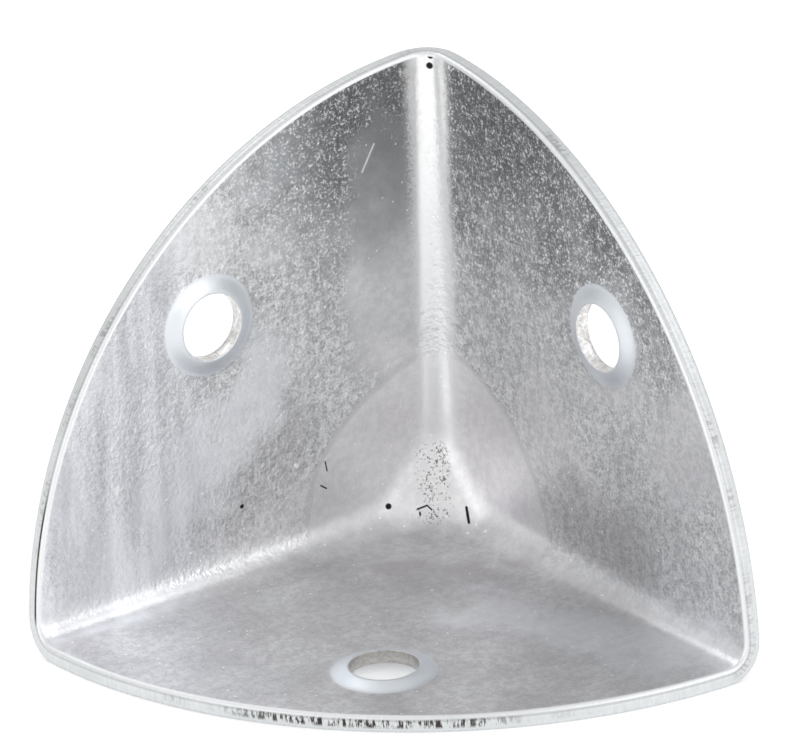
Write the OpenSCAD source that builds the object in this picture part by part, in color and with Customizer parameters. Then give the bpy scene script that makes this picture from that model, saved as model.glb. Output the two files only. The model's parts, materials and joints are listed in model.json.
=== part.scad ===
// Pressed steel box corner: three wings at right angles, drawn from one sheet.
// The origin is the box's own corner point, where the three inner faces would meet.
// The box fills the +X +Y +Z side, and the wings lie just outside it.

/* [Wings] */
// Outer length of each leg, from the sharp outer corner to the end of a fold
leg = 30; // [24:0.5:40]
// Thickness of the sheet
sheet_t = 1; // [0.6:0.1:1.5]
// How far the middle of each rim stands out beyond the legs
rim_bulge = 0.4; // [0:0.1:2]
// Rounding of the rim's inner edge, left by the blanking die
die_roll = 0.25; // [0.1:0.05:0.4]

/* [Folds] */
// Inside bend radius of the folds and of the nose's edges, where they meet
fold_r = 2; // [1.6:0.1:3]
// Inside bend radius where a fold runs out at its tip
tip_bend_r = 1.2; // [0.6:0.1:1.6]
// How far the blunt nose cuts back along each fold, between the bends
nose_cut = 3; // [2:0.1:4.5]

/* [Screw holes] */
// Diameter of the screw holes
hole_d = 4; // [3:0.1:4.5]
// Distance of each hole from the two outer faces beside it
hole_inset = 17.2; // [13:0.1:19]
// Diameter of the raised dimple round each hole, at its foot on the inner face
dimple_d = 6; // [5.5:0.1:8]
// Height of the dimple's crest above the inner face
dimple_lift = 0.4; // [0.3:0.05:0.8]
// Width of the flat crest round the hole
dimple_lip = 0.15; // [0.1:0.05:0.3]

/* [Hidden] */
$fn = 96;

// Cut-outs reach this far past what they cut
past = 4;
// The rounds stand this far proud of the flats they meet, so each ends on a clean edge
seam = 0.004;
// Far end of the solid that the sheet is wrapped round
far = leg + past;
// Inner length of a leg
tip = leg - sheet_t;

// Place along a fold where the blunt nose ends and the fold starts
nose_end = fold_r + nose_cut;
// The nose's flat is an even triangle: its centre and the reach of its corners before rounding
nose_mid = fold_r + nose_cut / 3;
nose_reach = nose_cut * sqrt(2 / 3);
// Folds narrow evenly from the nose to the tips: change in bend radius per mm
taper = (fold_r - tip_bend_r) / (tip - nose_end);
far_bend_r = fold_r - taper * (far - nose_end);
// Each fold's round is a cone whose axis leaves the nose at this angle to the fold
cone_tilt = atan(sqrt(2) * taper);
cone_axis = norm([fold_r - far_bend_r, fold_r - far_bend_r, far - nose_end]);
cone_sin = (fold_r - far_bend_r) / cone_axis;
cone_cos = sqrt(1 - cone_sin * cone_sin);

// Each rim is one arc through both tips of its wing, centred on the wing's diagonal
rim_mid = leg + rim_bulge;
rim_inset = (rim_mid * rim_mid - leg * leg) / (2 * (sqrt(2) * rim_mid - leg));
rim_r = rim_mid - sqrt(2) * rim_inset;

// The dimple's outer side runs parallel to its inner side, one sheet away
hole_r = hole_d / 2;
hole_at = hole_inset - sheet_t;
crest_r = hole_r + dimple_lip;
dimple_slope = dimple_lift / (dimple_d / 2 - crest_r);
sink_r = dimple_d / 2 + sheet_t * tan(atan(dimple_slope) / 2);

// The same shape on the three wings or folds, turned about the corner's diagonal
module on_three() {
  children();
  rotate([90, 0, 90]) children();
  rotate([0, -90, -90]) children();
}

// Flat of one side: bounded by the lines where the nose and the two folds beside it start
module flat_side(skin) {
  translate([0, 0, -skin])
    linear_extrude(far)
      polygon([[fold_r, nose_end], [nose_end, fold_r], [far, far_bend_r], [far, far],
               [far_bend_r, far]]);
}

// Round of one fold, a cone touching the two sides beside it
module fold_round(skin) {
  near_r = fold_r + skin + seam;
  far_r = far_bend_r + skin + seam;
  translate([fold_r, fold_r, nose_end])
    rotate([0, cone_tilt, 225])
      translate([0, 0, near_r * cone_sin])
        cylinder(h = cone_axis - (near_r - far_r) * cone_sin,
                 r1 = near_r * cone_cos, r2 = far_r * cone_cos);
}

// Round of the nose's edge beside the wing on the floor, between two folds
module nose_edge(skin) {
  translate([nose_end, fold_r, fold_r])
    rotate([0, 90, 135])
      cylinder(h = sqrt(2) * nose_cut, r = fold_r + skin + seam);
}

// Blunt three-cornered flat across the nose, square to the corner's diagonal
module nose_flat(skin) {
  translate([nose_mid, nose_mid, nose_mid])
    rotate([0, atan(sqrt(2)), 45])
      translate([0, 0, -fold_r - skin])
        linear_extrude(fold_r + skin + nose_cut)
          polygon([for (turn = [60, 180, 300]) nose_reach * [cos(turn), sin(turn)]]);
}

// The corner of the box with rounded edges and a blunt nose, grown outwards by a skin
module box_corner(skin) {
  intersection() {
    translate([-skin, -skin, -skin]) cube(far);
    union() {
      on_three() {
        flat_side(skin);
        fold_round(skin);
        nose_edge(skin);
        translate([fold_r, fold_r, nose_end]) sphere(fold_r + skin + 2 * seam);
      }
      nose_flat(skin);
    }
  }
}

// All that lies within the rim of the wing on the floor
module within_rim() {
  translate([rim_inset - sheet_t, rim_inset - sheet_t, -past])
    cylinder(h = far + 2 * past, r = rim_r);
}

// Ring with one inner edge rounded over, as the die leaves it: what lies outside the round
module roll_profile(edge_r, outward) {
  difference() {
    translate([outward ? edge_r : 0, 0]) square([outward ? past : edge_r, past]);
    translate([edge_r, 0]) circle(die_roll + seam);
  }
}

// Rolled edge along the rim of the wing on the floor, between its two folds
module rolled_rim() {
  intersection() {
    translate([rim_inset - sheet_t, rim_inset - sheet_t, -die_roll])
      rotate_extrude() roll_profile(rim_r - die_roll, true);
    translate([tip_bend_r, tip_bend_r, -past]) cube([far, far, 2 * past]);
  }
}

// Rolled edge round the bend at the end of the upright fold
module rolled_tip() {
  translate([tip_bend_r, tip_bend_r, tip - die_roll])
    rotate([0, 0, 180])
      rotate_extrude(angle = 90) roll_profile(tip_bend_r + die_roll, false);
}

// Raised side of a dimple, before its hole
module dimple() {
  root = sheet_t / 2;
  translate([hole_at, hole_at, -root])
    cylinder(h = root + dimple_lift, r1 = crest_r + (root + dimple_lift) / dimple_slope,
             r2 = crest_r);
}

// Screw hole with the countersunk side of its dimple
module screw_hole() {
  translate([hole_at, hole_at, -sheet_t]) {
    cylinder(h = sheet_t + dimple_lift + past, r = hole_r);
    translate([0, 0, -past])
      cylinder(h = past + sink_r * dimple_slope, r1 = sink_r + past / dimple_slope, r2 = 0);
  }
}

module corner() {
  color([0.78, 0.79, 0.81])
    difference() {
      union() {
        intersection() {
          difference() {
            box_corner(sheet_t);
            box_corner(0);
          }
          within_rim();
          rotate([90, 0, 90]) within_rim();
          rotate([0, -90, -90]) within_rim();
        }
        on_three() dimple();
      }
      on_three() {
        rolled_rim();
        rolled_tip();
        screw_hole();
      }
    }
}

corner();
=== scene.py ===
import json
import math

import bmesh
import bpy
from mathutils import Matrix, Vector, noise


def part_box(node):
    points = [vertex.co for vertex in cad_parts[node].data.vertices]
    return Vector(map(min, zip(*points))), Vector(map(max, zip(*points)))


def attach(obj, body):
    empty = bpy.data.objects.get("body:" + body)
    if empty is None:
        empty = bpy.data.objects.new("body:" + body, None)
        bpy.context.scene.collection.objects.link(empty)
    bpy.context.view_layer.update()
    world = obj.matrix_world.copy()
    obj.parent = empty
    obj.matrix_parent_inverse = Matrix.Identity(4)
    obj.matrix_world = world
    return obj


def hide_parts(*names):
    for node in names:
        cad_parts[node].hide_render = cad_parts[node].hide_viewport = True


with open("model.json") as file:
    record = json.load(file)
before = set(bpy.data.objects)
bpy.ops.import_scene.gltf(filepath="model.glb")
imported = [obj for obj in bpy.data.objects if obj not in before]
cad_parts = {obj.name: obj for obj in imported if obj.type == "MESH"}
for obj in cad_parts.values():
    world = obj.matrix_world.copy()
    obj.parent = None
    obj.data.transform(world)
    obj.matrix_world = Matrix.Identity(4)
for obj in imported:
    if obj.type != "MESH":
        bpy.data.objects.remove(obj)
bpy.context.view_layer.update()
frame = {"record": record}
MM = 0.001

# Sizes taken from the frame
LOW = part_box("corner")[0]
SHEET = -LOW.x
LEG = 30 * MM
SCREW_HOLE = next(m for m in frame["record"]["mounts"] if m["name"] == "screw_hole_z")
HOLE_R = SCREW_HOLE["dims"]["r_mm"] * MM
HOLE_AT = SCREW_HOLE["pos_m"][0]
HOLE = Vector((HOLE_AT, HOLE_AT, 0))

# Sizes of the folds, the rim and the dimples, as the part is built
FOLD_R = 2 * MM
TIP_BEND_R = 1.2 * MM
NOSE_CUT = 3 * MM
RIM_BULGE = 0.4 * MM
DIE_ROLL = 0.25 * MM
DIMPLE_R = 3 * MM
DIMPLE_LIFT = 0.4 * MM
DIMPLE_LIP = 0.15 * MM

TIP = LEG - SHEET
NOSE_END = FOLD_R + NOSE_CUT
TAPER = (FOLD_R - TIP_BEND_R) / (TIP - NOSE_END)
RIM_MID = LEG + RIM_BULGE
RIM_INSET = (RIM_MID ** 2 - LEG ** 2) / (2 * (math.sqrt(2) * RIM_MID - LEG))
RIM_R = RIM_MID - math.sqrt(2) * RIM_INSET
RIM_CENTRE = Vector((RIM_INSET - SHEET, RIM_INSET - SHEET, 0))
CREST_R = HOLE_R + DIMPLE_LIP
DIMPLE_SLOPE = DIMPLE_LIFT / (DIMPLE_R - CREST_R)
SINK_R = DIMPLE_R + SHEET * math.tan(math.atan(DIMPLE_SLOPE) / 2)

# Rounding of a dimple's crest, and the waves that pressing leaves on the inner skin
EDGE_ROUND = 0.05 * MM
WAVE = 0.03 * MM
WAVE_LENGTH = 5 * MM

# How finely the sheet is divided
RIM_STEPS = 96
FOLD_STEPS = 48
RINGS = 44
COLLAR_R = 4.2 * MM

# Points closer than these are one: in a flat wing, on the collar's outline, where wings join
SAME = 1e-7
ON_COLLAR = 1e-6
JOIN = 2e-6


def chain(bm, points):
    """Open line of edges through the points."""
    verts = [bm.verts.new(point) for point in points]
    edges = [bm.edges.new(pair) for pair in zip(verts, verts[1:])]
    return verts, edges


def quarter(centre, radius, start, steps):
    """Quarter circle of (across, up) points, clockwise from the start angle in degrees."""
    turns = [math.radians(start - 90 * step / steps) for step in range(steps + 1)]
    across, up = centre
    return [(across + radius * math.cos(t), up + radius * math.sin(t)) for t in turns]


def rim_section():
    """Blanked edge: rolled over inside, a straight burnished band, then the rougher break."""
    rolled = quarter((RIM_R - DIE_ROLL, -DIE_ROLL), DIE_ROLL, start=90, steps=5)
    band = [(RIM_R, -0.42 * SHEET), (RIM_R, -0.5 * SHEET), (RIM_R - 0.02 * MM, -0.56 * SHEET)]
    broken = [(RIM_R - 0.03 * MM, -0.75 * SHEET), (RIM_R - 0.04 * MM, -0.94 * SHEET)]
    outer = [(RIM_R - 0.1 * MM, -SHEET)]
    return rolled + band + broken + outer


def collar_section():
    """Wall of the screw hole: from the outer side through the countersink and over the crest."""
    sink_at = (SINK_R - HOLE_R) * DIMPLE_SLOPE - SHEET
    round_at = (HOLE_R + EDGE_ROUND, DIMPLE_LIFT - EDGE_ROUND)
    crest = quarter(round_at, EDGE_ROUND, start=180, steps=3)
    foot = DIMPLE_R + 0.3 * MM
    return [
        (COLLAR_R, -SHEET),
        (SINK_R + 0.1 * MM, -SHEET),
        (SINK_R - 0.06 * MM, -SHEET + 0.04 * MM),
        (HOLE_R + 0.06 * MM, sink_at - 0.03 * MM),
        (HOLE_R, sink_at + 0.03 * MM),
        (HOLE_R, 0),
        *crest,
        (CREST_R, DIMPLE_LIFT - 0.02 * MM),
        (CREST_R + 0.12 * MM, DIMPLE_LIFT - 0.12 * MM * DIMPLE_SLOPE),
        ((CREST_R + DIMPLE_R) / 2, DIMPLE_LIFT / 2),
        (DIMPLE_R - 0.2 * MM, 0.2 * MM * DIMPLE_SLOPE),
        (DIMPLE_R, 0.03 * MM),
        (foot, 0),
        (COLLAR_R, 0),
    ]


def flat_wing():
    """One wing before folding: lies on z = 0 with its folds along x and y, open along both."""
    bm = bmesh.new()
    # cut edge of the rim, turned from one fold to the other
    start = math.asin(-RIM_CENTRE.y / RIM_R)
    verts, edges = chain(bm, [(r, 0, up) for r, up in rim_section()])
    bmesh.ops.rotate(bm, verts=verts, matrix=Matrix.Rotation(start, 3, "Z"))
    bmesh.ops.translate(bm, verts=verts, vec=RIM_CENTRE)
    ends = bmesh.ops.spin(bm, geom=verts + edges, cent=RIM_CENTRE, axis=(0, 0, 1),
                          angle=math.pi / 2 - 2 * start, steps=RIM_STEPS)
    last = [item for item in ends["geom_last"] if isinstance(item, bmesh.types.BMVert)]
    edge_faces = set(bm.faces)
    lay_edge(bm)
    # fold lines of both skins, from the rim to the nose
    for level in (0, -SHEET):
        lines = []
        for side, row in (("x", verts), ("y", last)):
            end = next(vert for vert in row if on_level(vert, level))
            lines.append(fold_line(bm, end, side, level))
        bmesh.ops.pointmerge(bm, verts=lines, merge_co=(0, 0, level))
    # collar of the screw hole
    verts, edges = chain(bm, [(HOLE_AT + r, HOLE_AT, up) for r, up in collar_section()])
    bmesh.ops.spin(bm, geom=verts + edges, cent=HOLE, axis=(0, 0, 1),
                   angle=2 * math.pi, steps=RIM_STEPS + 2 * FOLD_STEPS, use_merge=True)
    bmesh.ops.remove_doubles(bm, verts=bm.verts, dist=SAME)
    # both skins, from the collar out to the rim and the folds
    for level in (0, -SHEET):
        border = [edge for edge in bm.edges if len(edge.link_faces) < 2
                  and all(on_level(vert, level) for vert in edge.verts)]
        bridged = bmesh.ops.bridge_loops(bm, edges=border)
        spokes = [edge for edge in bridged["edges"] if any(map(on_collar, edge.verts))]
        bmesh.ops.subdivide_edges(bm, edges=spokes, cuts=RINGS, use_grid_fill=True)
    for face in bm.faces:
        face.material_index = int(face in edge_faces)
    level = bm.verts.layers.float.new("level")
    for vert in bm.verts:
        vert[level] = vert.co.z
    return bm


def on_level(vert, level):
    """Whether a point of the flat wing lies at a height."""
    return abs(vert.co.z - level) < SAME


def on_collar(vert):
    """Whether a point lies on the outline of the screw hole's collar."""
    return abs((vert.co - HOLE).xy.length - COLLAR_R) < ON_COLLAR


def lay_edge(bm):
    """Lays the cut edge out for its finish, along the rim and across the sheet, in millimetres."""
    layout = bm.loops.layers.uv.new("edge")
    for face in bm.faces:
        for loop in face.loops:
            place = loop.vert.co
            loop[layout].uv = (RIM_R * math.atan2(place.y, place.x) / MM, -place.z / MM)


def fold_line(bm, end, side, level):
    """Extrudes a fold line from the rim's end to the nose; returns its last vertex."""
    reach = getattr(end.co, side)
    setattr(end.co, "y" if side == "x" else "x", 0)
    for step in range(1, FOLD_STEPS + 1):
        grown = bmesh.ops.extrude_vert_indiv(bm, verts=[end])
        end = grown["verts"][0]
        place = reach * (1 - step / FOLD_STEPS)
        end.co = (place, 0, level) if side == "x" else (0, place, level)
    return end


def bend_radius(along):
    """Inside bend radius of a fold, tapering from the nose to the tip."""
    return FOLD_R - TAPER * max(along - NOSE_END, 0)


def ball_centre(place, radius):
    """Centre, nearest to a place, of a ball that rolls inside the bends and the blunt nose."""
    for free in (3, 2, 1):
        highest = sorted(place)[-free:]
        held = (3 - free) * radius
        lift = max(0, (NOSE_END + 2 * FOLD_R - held - sum(highest)) / free)
        if highest[0] + lift >= radius:
            break
    return Vector([max(value + lift, radius) for value in place])


def press(bm):
    """Presses the flat wing into the corner: its two edges turn round onto the fold lines."""
    for vert in bm.verts:
        across, along, up = vert.co
        place = Vector((across, along, 0))
        radius = bend_radius(max(across, along))
        centre = ball_centre(place, radius)
        vert.co = centre + (radius - up) * (place - centre).normalized()


def wave_inside(bm):
    """Leaves the inner skin very slightly wavy, as pressing does."""
    level = bm.verts.layers.float["level"]
    bm.normal_update()
    for vert in bm.verts:
        if vert[level] > -DIE_ROLL:
            vert.co += WAVE * noise.noise(vert.co / WAVE_LENGTH) * vert.normal


def sheet_corner():
    """The whole pressed corner as one closed mesh."""
    bm = flat_wing()
    press(bm)
    bmesh.ops.spin(bm, geom=bm.verts[:] + bm.edges[:] + bm.faces[:], cent=(0, 0, 0),
                   axis=Vector((1, 1, 1)).normalized(), angle=math.radians(240), steps=2,
                   use_duplicate=True)
    bmesh.ops.remove_doubles(bm, verts=bm.verts, dist=JOIN)
    bmesh.ops.recalc_face_normals(bm, faces=bm.faces)
    wave_inside(bm)
    mesh = bpy.data.meshes.new("pressed_corner")
    bm.to_mesh(mesh)
    bm.free()
    mesh.shade_smooth()
    piece = bpy.data.objects.new("pressed_corner", mesh)
    bpy.context.scene.collection.objects.link(piece)
    return piece


class Finish:
    """A material in the making, with short ways to lay its nodes."""

    def __init__(self, name):
        self.material = bpy.data.materials.new(name)
        self.material.use_nodes = True
        self.tree = self.material.node_tree
        self.shader = self.tree.nodes["Principled BSDF"]

    def feed(self, socket, value):
        """Gives a socket another node's output, or a fixed value."""
        if isinstance(value, bpy.types.NodeSocket):
            self.tree.links.new(value, socket)
        else:
            socket.default_value = value

    def math(self, operation, *values, clamp=False):
        """Number worked out from numbers."""
        node = self.tree.nodes.new("ShaderNodeMath")
        node.operation = operation
        node.use_clamp = clamp
        for socket, value in zip(node.inputs, values):
            self.feed(socket, value)
        return node.outputs[0]

    def row(self, operation, first, *others):
        """The same sum done with each value in turn."""
        for other in others:
            first = self.math(operation, first, other)
        return first

    def times(self, *values):
        return self.row("MULTIPLY", *values)

    def plus(self, *values):
        return self.row("ADD", *values)

    def less(self, *values):
        return self.row("SUBTRACT", *values)

    def most(self, *values):
        return self.row("MAXIMUM", *values)

    def least(self, *values):
        return self.row("MINIMUM", *values)

    def vector(self, operation, *values):
        """Place or length worked out from places."""
        node = self.tree.nodes.new("ShaderNodeVectorMath")
        node.operation = operation
        for socket, value in zip(node.inputs, values):
            self.feed(socket, value)
        scalar = operation in ("LENGTH", "DISTANCE", "DOT_PRODUCT")
        return node.outputs["Value" if scalar else "Vector"]

    def in_mm(self):
        """Object coordinates in millimetres."""
        coordinates = self.tree.nodes.new("ShaderNodeTexCoord")
        mapping = self.tree.nodes.new("ShaderNodeMapping")
        mapping.inputs["Scale"].default_value = (1 / MM,) * 3
        self.tree.links.new(coordinates.outputs["Object"], mapping.inputs["Vector"])
        return mapping.outputs["Vector"]

    def clouds(self, place, scale, detail=2, roughness=0.5, distortion=0):
        """Soft cloudy pattern, finer as the scale grows."""
        node = self.tree.nodes.new("ShaderNodeTexNoise")
        self.feed(node.inputs["Vector"], place)
        node.inputs["Scale"].default_value = scale
        node.inputs["Detail"].default_value = detail
        node.inputs["Roughness"].default_value = roughness
        node.inputs["Distortion"].default_value = distortion
        return node.outputs["Fac"]

    def cells(self, place, scale):
        """Distance from the middle of the nearest of many scattered cells."""
        node = self.tree.nodes.new("ShaderNodeTexVoronoi")
        self.feed(node.inputs["Vector"], place)
        node.inputs["Scale"].default_value = scale
        return node.outputs["Distance"]

    def step(self, value, start, end):
        """Goes softly from 0 at the start value to 1 at the end value."""
        node = self.tree.nodes.new("ShaderNodeMapRange")
        node.interpolation_type = "SMOOTHSTEP"
        self.feed(node.inputs["Value"], value)
        node.inputs["From Min"].default_value = start
        node.inputs["From Max"].default_value = end
        if start > end:
            node.inputs["From Min"].default_value = end
            node.inputs["From Max"].default_value = start
            node.inputs["To Min"].default_value = 1
            node.inputs["To Max"].default_value = 0
        return node.outputs["Result"]

    def mix(self, amount, first, second):
        """Number between two numbers."""
        node = self.tree.nodes.new("ShaderNodeMix")
        self.feed(node.inputs["Factor"], amount)
        self.feed(node.inputs["A"], first)
        self.feed(node.inputs["B"], second)
        return node.outputs["Result"]

    def blend(self, amount, first, second):
        """Colour between two colours."""
        node = self.tree.nodes.new("ShaderNodeMix")
        node.data_type = "RGBA"
        self.feed(node.inputs[0], amount)
        for socket, colour in zip(node.inputs[6:8], (first, second)):
            self.feed(socket, colour if isinstance(colour, bpy.types.NodeSocket) else (*colour, 1))
        return node.outputs[2]

    def bump(self, height, depth, strength=1.0):
        """Relief of the given depth in metres where the height goes from 0 to 1."""
        node = self.tree.nodes.new("ShaderNodeBump")
        node.inputs["Distance"].default_value = depth
        self.feed(node.inputs["Strength"], strength)
        self.feed(node.inputs["Height"], height)
        return node.outputs["Normal"]

    def parts(self, place):
        """The three coordinates of a place."""
        node = self.tree.nodes.new("ShaderNodeSeparateXYZ")
        self.feed(node.inputs[0], place)
        return node.outputs

    def scaled(self, place, factors):
        """The place stretched by a factor along each axis."""
        return self.vector("MULTIPLY", place, factors)

    def near_holes(self, place):
        """Distance in millimetres from the middle of the nearest screw hole."""
        nearest = FARTHEST
        for turn in range(3):
            centre = [HOLE_AT / MM, HOLE_AT / MM, HOLE_AT / MM]
            centre[turn] = 0
            nearest = self.least(nearest, self.vector("DISTANCE", place, centre))
        return nearest

    def near_spots(self, place, spots):
        """1 at any of the spots, each a place and a radius in mm, falling to 0 at its edge."""
        worst = 0.0
        for spot, radius in spots:
            away = self.vector("DISTANCE", place, spot)
            worst = self.most(worst, self.step(away, radius, radius * 0.6))
        return worst

    def near_lines(self, place, lines, core=0.5):
        """1 along the core of any of the lines, each two ends and a half width in mm, then falling."""
        worst = 0.0
        for start, end, width in lines:
            run = Vector(end) - Vector(start)
            gone = self.vector("SUBTRACT", place, start)
            along = self.vector("DOT_PRODUCT", gone, run)
            share = self.math("DIVIDE", along, run.dot(run), clamp=True)
            foot = self.tree.nodes.new("ShaderNodeVectorMath")
            foot.operation = "SCALE"
            foot.inputs[0].default_value = run
            self.feed(foot.inputs["Scale"], share)
            away = self.vector("DISTANCE", gone, foot.outputs["Vector"])
            worst = self.most(worst, self.step(away, width, width * core))
        return worst


# Further off, in millimetres, than any place on the corner
FARTHEST = 99.0

# Marks on the plate, in millimetres from the box's corner point
PITS = [((4.3, 0.2, 1.4), 0.23), ((14.5, 0, 4.3), 0.17),
        ((0.2, 0.5, 28.8), 0.22), ((0.3, 0.5, 28.2), 0.26)]
DARK_SCRATCHES = [((0.9, 3.3, 1.4), (1.1, 3.8, 0.6), 0.11), ((3, 1.3, 1.2), (2.5, 1.6, 1.4), 0.08),
                  ((2.5, 1.6, 1.4), (2.4, 1.9, 1.2), 0.07), ((3, 1.5, 1.2), (3, 1.6, 0.8), 0.08),
                  ((8.5, 0, 5.4), (8.4, 0, 4.8), 0.06), ((8.9, 0, 4), (8.5, 0, 3.7), 0.06)]
BRIGHT_SCRATCHES = [((4.1, 0, 24.2), (5, 0, 22.7), 0.09), ((23, 0, 8), (23.1, 0, 7.6), 0.12),
                    ((10.6, 0, 5.8), (10.5, 0, 5.7), 0.16)]
BRIGHT_SPECKS = [((1.5, 4.2, 0.2), 0.13), ((0.8, 5, 0.4), 0.15), ((4.5, 0, 2.8), 0.09),
                 ((4, 1.3, 0.4), 0.09), ((1.9, 2.7, 0.9), 0.08), ((9.2, 0.6, 0.5), 0.12)]
PITTED_LINE = ((1.3, 0.6, 3.8), (2.3, 2.1, 1.3), 1.3)
# Soft areas of the inner skin, each two ends and a half width in millimetres
LIGHT_STREAKS = [((12.7, 0, 12.3), (22.5, 0, 1.4), 3.6), ((9, 0, 25.5), (12, 0, 24), 3),
                 ((7.9, 13.2, 0), (1.3, 26.2, 0), 3.8)]
DARK_STREAKS = [((17, 0, 3.9), (11.5, 0, 7.4), 4.2), ((0, 12.5, 4.2), (0, 19, 2), 4.2),
                ((10, 4.6, 0), (4, 10, 0), 3.8)]
# How far the zone burnished round the nose reaches, and the smooth patch by the upright fold
BURNISHED_REACH = 10.3
WEDGE_MIDDLE = (3.4, 0, 17.5)
WEDGE_SPREAD = (1 / 3.0, 1, 1 / 8.5)

# Colours of the plate on the flats
WHITE = (1, 1, 1)
GRAIN_DARK = (0.43, 0.445, 0.455)
POLISHED_DARK = (0.68, 0.68, 0.695)
MAUVE = (0.55, 0.53, 0.56)
CLOUD_GREY = (0.46, 0.465, 0.475)
SHADOW_GREY = (0.36, 0.35, 0.36)
BLUE_WHITE = (0.93, 0.96, 1)
ROSY = (0.9, 0.875, 0.895)
# bluish band on the left wing's rim: painted reflection of the floor, with pale streaks
REFLECTION_BLUE = (0.6, 0.61, 0.66)
REFLECTION_PALE = (0.86, 0.88, 0.93)
OUTER_GREY = (0.4, 0.405, 0.42)
# Colours of its tips (with painted shade), folds (with painted highlight), outline, holes and pits
TIP_SHADE_DARK = (0.06, 0.065, 0.07)
TIP_SHADE_SMOOTH = (0.22, 0.23, 0.24)
FOLD_GREY = (0.79, 0.8, 0.81)
FOLD_WHITE = (0.96, 0.96, 0.97)
RING_GREY = (0.4, 0.4, 0.41)
DIMPLE_BLUE = (0.78, 0.82, 0.86)
BORE_GREY = (0.62, 0.6, 0.59)
BORE_WHITE = (1, 1, 0.99)
BORE_BROWN = (0.3, 0.28, 0.26)
PIT_BLACK = (0.04, 0.04, 0.04)
# Colours of the cut edge
ROLL_PALE = (0.85, 0.86, 0.87)
RIB_GREY = (0.6, 0.62, 0.63)
RIB_PALE = (0.86, 0.88, 0.89)
# thin dark line along the cut edge
EDGE_LINE_GREY = (0.3, 0.3, 0.3)
TORN_BLACK = (0.07, 0.06, 0.055)

# Depths of the grain and of the ribs on the cut edge
GRAIN_DEPTH = 0.07 * MM
RIB_DEPTH = 0.05 * MM


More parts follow.
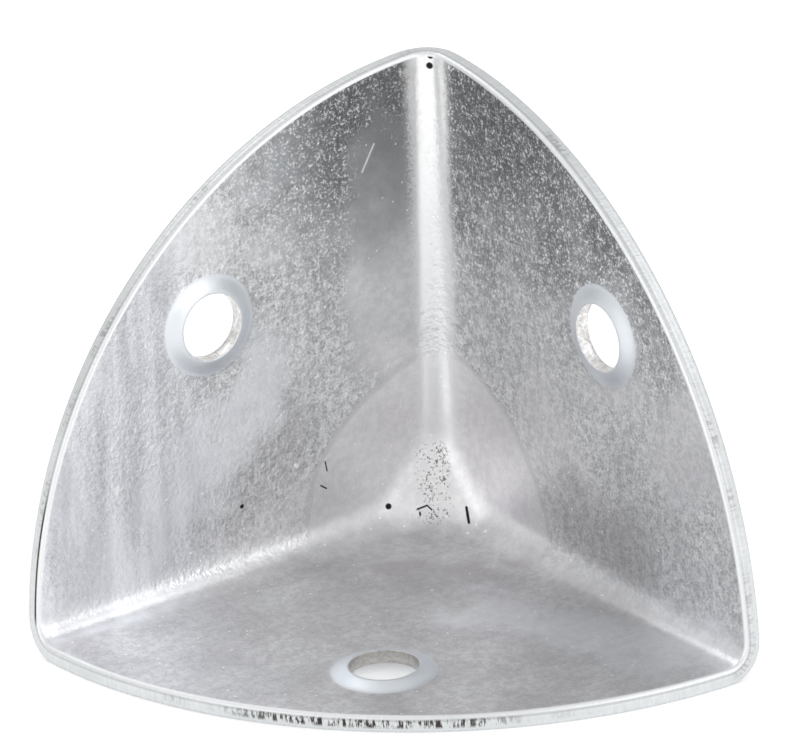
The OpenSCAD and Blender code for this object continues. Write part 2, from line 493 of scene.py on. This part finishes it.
class Plate(Finish):
    """Bright zinc plate: grainy on the flats, burnished round the nose, the folds and the holes; with
    painted highlights on the folds, a painted dark reflection on the upper tips and a painted floor
    reflection on the left wing's rim.
    """

    def __init__(self):
        super().__init__("plated_steel")
        self.place = self.in_mm()
        self.x, self.y, self.z = self.parts(self.place)
        # patterns, from the broadest to the finest
        self.broad = self.clouds(self.place, 0.13, detail=1, distortion=0.6)
        self.drift = self.clouds(self.place, 0.3)
        self.mottle = self.clouds(self.place, 1.7, detail=4, roughness=0.75)
        self.grain = self.clouds(self.place, 5.2, detail=3, roughness=0.8)
        self.flecks = self.plus(self.grain, self.times(self.mottle, 0.6))
        self.shade = self.plus(self.times(self.step(self.grain, 0.4, 0.6), 0.5),
                               self.times(self.step(self.mottle, 0.4, 0.6), 0.5))
        # inner skin, and the two wings that differ from the rest
        self.inside = self.step(self.least(self.x, self.y, self.z), -0.7, -0.55)
        self.floor_wing = self.step(self.z, 1.8, 0.2)
        self.left_wing = self.times(self.step(self.y, 1.8, 0.2), self.inside)
        self.find_patches()
        self.find_smooth()
        self.find_folds()

    def find_patches(self):
        """Soft light and dark areas, and the smooth patches that the grain leaves free."""
        wander = self.times(self.less(self.drift, 0.5), 6)
        wander = self.vector("ADD", self.place, wander)
        self.light = self.times(self.near_lines(wander, LIGHT_STREAKS, core=0.1), self.inside)
        self.shadow = self.times(self.near_lines(wander, DARK_STREAKS, core=0.1), self.inside)
        ragged = self.plus(self.broad, self.times(self.grain, 0.35))
        patch = self.times(self.step(ragged, 0.62, 0.84), self.mix(self.shadow, 0.7, 0.1))
        patch = self.most(patch, self.times(self.light, 0.75), self.times(self.floor_wing, 0.75))
        # long patch beside the upright fold
        off_wedge = self.vector("SUBTRACT", self.place, WEDGE_MIDDLE)
        wedge = self.vector("LENGTH", self.scaled(off_wedge, WEDGE_SPREAD))
        wedge = self.plus(wedge, self.times(self.plus(self.mottle, self.drift), 1.1))
        self.wedge = self.times(self.step(wedge, 2.35, 1.85), self.left_wing)
        self.patch = self.most(patch, self.wedge)

    def find_smooth(self):
        """Zone burnished round the nose, dimples and bores, and all that is smooth together."""
        self.reach = self.plus(self.vector("LENGTH", self.place), self.times(self.drift, 1.2))
        nose = self.step(self.reach, BURNISHED_REACH + 0.9, BURNISHED_REACH + 0.3)
        self.nose = self.times(nose, self.inside)
        off_hole = self.near_holes(self.place)
        self.dimple = self.step(off_hole, DIMPLE_R / MM + 0.15, DIMPLE_R / MM)
        self.bore = self.step(off_hole, HOLE_R / MM + 0.12, HOLE_R / MM + 0.03)
        self.smooth = self.most(self.times(self.nose, 0.85), self.most(self.patch, self.dimple))
        self.grainy = self.less(1.0, self.times(self.smooth, 0.9))

    def find_folds(self):
        """Folds: the nearest lies as far off as the middle one of a place's three coordinates."""
        off_fold = self.most(self.least(self.x, self.y),
                             self.least(self.most(self.x, self.y), self.z))
        off_fold = self.plus(off_fold, self.times(self.less(self.grain, 0.5), 2.2))
        self.fold = self.step(off_fold, FOLD_R / MM, FOLD_R / MM * 0.6)
        self.upright = self.times(self.fold, self.step(self.z, 3, 9))

    def flats(self):
        """Fine grain over a leathery mottle, and smoother cloudy zones."""
        grained = self.blend(self.shade, GRAIN_DARK, WHITE)
        cloudy = self.plus(self.times(self.drift, 0.6),
                           self.times(self.step(self.mottle, 0.36, 0.64), 0.4))
        polished = self.blend(cloudy, POLISHED_DARK, WHITE)
        mauve = self.times(self.floor_wing, self.mix(self.step(self.drift, 0.35, 0.65), 0.2, 0.7))
        polished = self.blend(mauve, polished, MAUVE)
        colour = self.blend(self.smooth, grained, polished)
        clouded = self.step(self.plus(self.broad, self.times(self.drift, 0.5)), 0.8, 0.62)
        clouded = self.times(clouded, self.mix(self.nose, 0.24, 0.05))
        colour = self.blend(clouded, colour, CLOUD_GREY)
        colour = self.blend(self.times(self.shadow, 0.38), colour, SHADOW_GREY)
        colour = self.blend(self.times(self.light, 0.5), colour, BLUE_WHITE)
        rosy = self.times(self.nose, self.mix(self.floor_wing, 0.4, 0.0))
        return self.blend(rosy, colour, ROSY)

    def left_rim_reflection(self, colour):
        """Painted reflection of the floor: a bluish band along the rim of the left wing, with soft
        streaks.
        """
        band = self.times(self.left_wing, self.step(self.x, 14, 21))
        streaks = self.step(self.clouds(self.scaled(self.place, (0.8, 1, 0.12)), 1.0), 0.35, 0.65)
        streaked_reflection = self.blend(streaks, REFLECTION_BLUE, REFLECTION_PALE)
        return self.blend(self.times(band, 0.6), colour, streaked_reflection)

    def tips_and_folds(self, colour):
        """Painted dark reflection on the upper tips, with bright flecks of the grain; folds partly
        burnished, partly a painted highlight.
        """
        # painted shade: the upper tips darken as a dark reflection would, with white flecks of the
        # grain on them
        high = self.plus(self.z, self.times(self.drift, 14))
        tip_shade = self.times(self.step(high, 18, 33), self.step(self.x, 18, 6))
        flecked_shade = self.blend(self.step(self.flecks, 0.8, 0.98), TIP_SHADE_DARK, WHITE)
        flecked_shade = self.blend(self.wedge, flecked_shade, TIP_SHADE_SMOOTH)
        colour = self.blend(self.times(tip_shade, 0.76), colour, flecked_shade)
        # painted highlight on the folds, over their real burnish: lighter towards the top of the
        # upright fold, and a little lighter on all folds
        rubbed_and_highlight = self.blend(self.step(self.z, 16, 26), FOLD_GREY, WHITE)
        burnish_and_highlight = self.times(self.upright, self.mix(self.shade, 0.84, 1.0))
        colour = self.blend(burnish_and_highlight, colour, rubbed_and_highlight)
        return self.blend(self.times(self.fold, 0.25), colour, FOLD_WHITE)

    def nose_outline(self, colour):
        """Thin broken dark line round the burnished zone, on the two upper wings."""
        ring = self.times(self.step(self.reach, 10.55, 10.75), self.step(self.reach, 11.2, 10.95))
        upper = self.less(1.0, self.most(self.floor_wing, self.fold))
        broken = self.times(upper, self.step(self.mottle, 0.4, 0.55))
        ring = self.times(ring, broken, self.inside, 0.3)
        return self.blend(ring, colour, RING_GREY)

    def holes(self, colour):
        """Bright specks all over, bluish dimples, and bores left rough by the punch."""
        specks = self.step(self.cells(self.place, 1.1), 0.1, 0.06)
        colour = self.blend(specks, colour, WHITE)
        colour = self.blend(self.times(self.dimple, 0.9), colour, DIMPLE_BLUE)
        sheared = self.blend(self.step(self.flecks, 0.62, 1.0), BORE_GREY, BORE_WHITE)
        sheared = self.blend(self.times(self.floor_wing, 0.6), sheared, BORE_BROWN)
        return self.blend(self.bore, colour, sheared)

    def marks(self, colour):
        """Pits and cracks, scratches and specks."""
        pitted = self.near_lines(self.place, [PITTED_LINE])
        pits = self.times(pitted, self.step(self.flecks, 0.84, 0.94))
        self.dark = self.most(self.near_spots(self.place, PITS),
                              self.near_lines(self.place, DARK_SCRATCHES), self.times(pits, 0.7))
        bright = self.most(self.near_lines(self.place, BRIGHT_SCRATCHES),
                           self.near_spots(self.place, BRIGHT_SPECKS))
        colour = self.blend(self.dark, colour, PIT_BLACK)
        return self.blend(bright, colour, WHITE)

    def roughness(self):
        """Dull on the grain and in the dark marks, shinier on the smooth zones and folds."""
        rough = self.mix(self.smooth, self.mix(self.shade, 0.5, 0.38), 0.34)
        rough = self.mix(self.dimple, rough, 0.42)
        rough = self.mix(self.fold, rough, 0.33)
        rough = self.mix(self.step(self.reach, 8, 6), rough, 0.5)
        return self.mix(self.dark, rough, 0.8)


def plated_steel():
    """Finish of both skins and of the holes."""
    plate = Plate()
    colour = plate.left_rim_reflection(plate.flats())
    colour = plate.nose_outline(plate.tips_and_folds(colour))
    colour = plate.marks(plate.holes(colour))
    # the outer skin has lost some of its shine
    colour = plate.blend(plate.mix(plate.inside, 0.45, 0.0), colour, OUTER_GREY)
    plate.feed(plate.shader.inputs["Base Color"], colour)
    plate.shader.inputs["Metallic"].default_value = 1
    plate.feed(plate.shader.inputs["Roughness"], plate.roughness())
    relief = plate.clouds(plate.place, 3.2, detail=3, roughness=0.65)
    plate.feed(plate.shader.inputs["Normal"], plate.bump(relief, GRAIN_DEPTH, plate.grainy))
    return plate.material


def blanked_edge():
    """Cut edge of the sheet: burnished next to the inside, then torn, with dark ribs across."""
    finish = Finish("blanked_edge")
    coordinates = finish.tree.nodes.new("ShaderNodeUVMap")
    coordinates.uv_map = "edge"
    layout = coordinates.outputs["UV"]
    depth = finish.parts(layout)[1]
    place = finish.in_mm()
    x, y, z = finish.parts(place)
    ribs = finish.clouds(finish.scaled(layout, (1, 0.2, 1)), 4.6, detail=3, roughness=0.7)
    # torn worst in the middle of the floor wing's rim, and a little in places elsewhere
    aside = finish.math("ABSOLUTE", finish.less(x, y))
    middle = finish.times(finish.step(z, 0.3, -0.1), finish.step(aside, 15, 7))
    elsewhere = finish.times(finish.step(finish.clouds(place, 0.16), 0.5, 0.64), 0.4)
    worn = finish.most(middle, elsewhere)
    torn = finish.times(finish.step(ribs, 0.44, 0.58), worn,
                        finish.step(depth, 0.14, 0.3), finish.step(depth, 0.85, 0.6))
    # dark line along the edge, darker still at the foot of the left rim
    edge_line = finish.times(finish.step(depth, 0.16, 0.22), finish.step(depth, 0.38, 0.3))
    foot = finish.times(finish.step(z, 0.6, 1.6), finish.step(z, 10, 7))
    foot_line = finish.times(edge_line, finish.times(finish.step(y, 0.6, 0.2), foot))
    torn = finish.most(torn, foot_line)
    band = finish.blend(ribs, RIB_GREY, RIB_PALE)
    colour = finish.blend(finish.step(depth, 0.05, 0.2), ROLL_PALE, band)
    colour = finish.blend(finish.times(edge_line, 0.35), colour, EDGE_LINE_GREY)
    colour = finish.blend(torn, colour, TORN_BLACK)
    finish.feed(finish.shader.inputs["Base Color"], colour)
    finish.shader.inputs["Metallic"].default_value = 1
    finish.feed(finish.shader.inputs["Roughness"], finish.mix(torn, 0.45, 0.6))
    finish.feed(finish.shader.inputs["Normal"], finish.bump(ribs, RIB_DEPTH))
    return finish.material


# The floor lies this little below the corner, so that the two never share a plane
FLOOR_GAP = 0.01 * MM
FLOOR_REACH = 0.6
# Soft boxes: how wide and how far off, in metres
BOX_WIDTH = 0.45
BOX_AWAY = 0.8
ROOM_LIGHT = 0.78


def pale_floor():
    """Plain white sheet under the corner, lit a little from behind."""
    finish = Finish("pale_floor")
    finish.shader.inputs["Base Color"].default_value = (0.88, 0.88, 0.88, 1)
    finish.shader.inputs["Emission Strength"].default_value = 0.3
    finish.shader.inputs["Emission Color"].default_value = (1, 1, 1, 1)
    finish.shader.inputs["Roughness"].default_value = 0.8
    finish.shader.inputs["Specular IOR Level"].default_value = 0
    bm = bmesh.new()
    bmesh.ops.create_grid(bm, x_segments=1, y_segments=1, size=FLOOR_REACH)
    bmesh.ops.translate(bm, verts=bm.verts, vec=(0, 0, LOW.z - FLOOR_GAP))
    mesh = bpy.data.meshes.new("floor")
    bm.to_mesh(mesh)
    bm.free()
    mesh.materials.append(finish.material)
    floor = bpy.data.objects.new("floor", mesh)
    bpy.context.scene.collection.objects.link(floor)


def on_dome(bearing, height):
    """Direction at a bearing from +x and a height above the floor, both in radians."""
    level = math.cos(height)
    return Vector((level * math.cos(bearing), level * math.sin(bearing), math.sin(height)))


def soft_light(name, bearing, height, power):
    """Round soft box that faces the corner, at a bearing and a height angle in degrees."""
    lamp = bpy.data.lights.new(name, "AREA")
    lamp.shape = "DISK"
    lamp.size = BOX_WIDTH
    lamp.energy = power
    light = bpy.data.objects.new(name, lamp)
    toward = on_dome(math.radians(bearing), math.radians(height))
    light.location = BOX_AWAY * toward
    light.rotation_euler = toward.to_track_quat("Z", "Y").to_euler()
    bpy.context.scene.collection.objects.link(light)


def studio():
    """Pale room with four soft boxes round the corner."""
    scene = bpy.context.scene
    world = bpy.data.worlds.new("studio")
    world.use_nodes = True
    backdrop = world.node_tree.nodes["Background"]
    backdrop.inputs["Color"].default_value = (1, 1, 1, 1)
    backdrop.inputs["Strength"].default_value = ROOM_LIGHT
    scene.world = world
    scene.view_settings.view_transform = "Standard"
    soft_light("left_box", 10, 20, 0.7)
    soft_light("right_box", 100, 20, 0.9)
    soft_light("far_right_box", 145, 45, 0.6)
    soft_light("back_box", 280, 50, 0.7)


# Where the camera stands: its target, its bearing from +x, its height angle and its tilt
AIM = Vector((0.18, -3.94, 7.31)) * MM
DISTANCE = 600 * MM
BEARING = math.radians(55.07)
HEIGHT = math.radians(23.16)
TILT = math.radians(-2.41)
# How much the camera takes in at its target: an image 800 across, at so many to the millimetre
FRAME_WIDTH = 800 / 16.968 * MM


def camera():
    """Long lens far off, turned a little about its own axis."""
    lens = bpy.data.cameras.new("camera")
    lens.sensor_width = 36
    lens.lens = lens.sensor_width * DISTANCE / FRAME_WIDTH
    lens.clip_start = 0.01
    viewer = bpy.data.objects.new("camera", lens)
    toward = on_dome(BEARING, HEIGHT)
    viewer.location = AIM + DISTANCE * toward
    turn = toward.to_track_quat("Z", "Y").to_matrix() @ Matrix.Rotation(TILT, 3, "Z")
    viewer.rotation_euler = turn.to_euler()
    bpy.context.scene.collection.objects.link(viewer)
    bpy.context.scene.camera = viewer


corner = sheet_corner()
corner.data.materials.append(plated_steel())
corner.data.materials.append(blanked_edge())
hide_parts("corner")
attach(corner, "root")
pale_floor()
studio()
camera()
